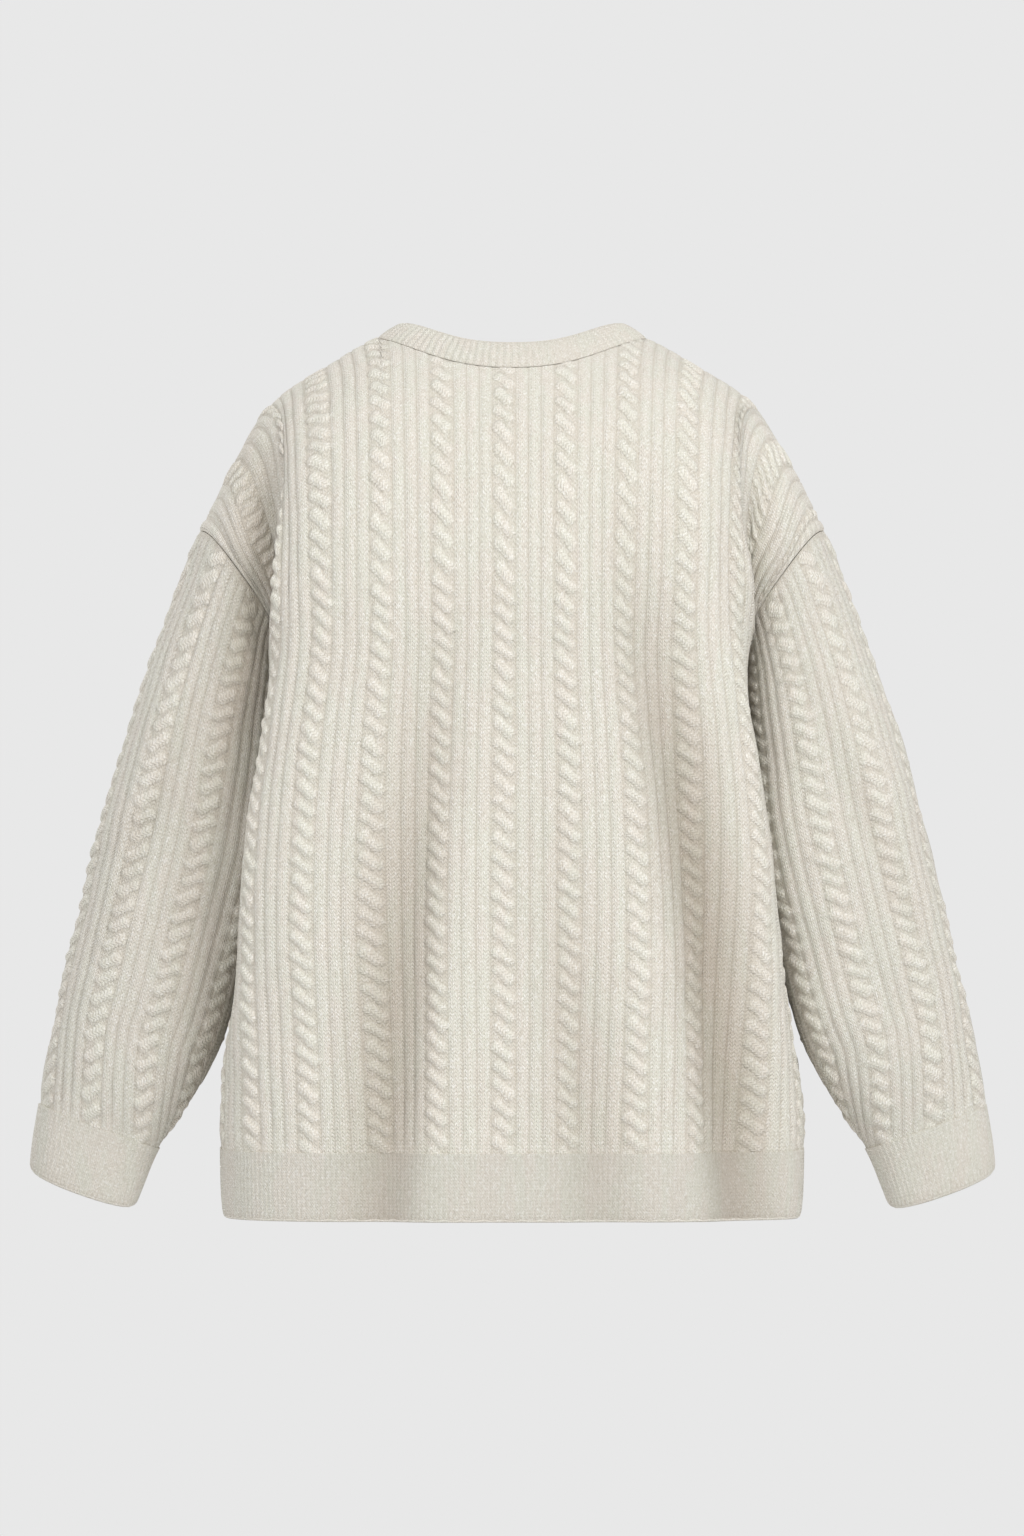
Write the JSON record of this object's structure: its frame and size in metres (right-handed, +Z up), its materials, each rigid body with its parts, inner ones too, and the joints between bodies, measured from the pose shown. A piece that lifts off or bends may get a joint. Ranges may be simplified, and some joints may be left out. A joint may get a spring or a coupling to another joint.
{
  "type": "cable knit sweater",
  "caption": "Crew-neck cable knit sweater in heathered cream wool, with dropped shoulders, long sleeves and ribbed neck, hem and cuffs, hollow in the form it has when worn",
  "frame": {"origin": "midway between the two neck points, on the line over the shoulders where a wearer holds the sweater up", "axes": "+Z up, +Y the back, -Y the front that the wearer faces, +X the wearer's left"},
  "size_m": [0.754, 0.2482, 0.6961],
  "materials": {
    "cable_knit": "soft heathered wool, knitted in cables and ribs",
    "rib_knit": "soft heathered wool, knitted in a fine rib"
  },
  "bodies": {
    "root": {"back": "cable_knit", "front": "cable_knit", "sleeve_left": "cable_knit", "sleeve_right": "cable_knit", "neckband": "rib_knit", "hem_rib": "rib_knit", "cuff_left": "rib_knit", "cuff_right": "rib_knit"}
  },
  "joints": []
}
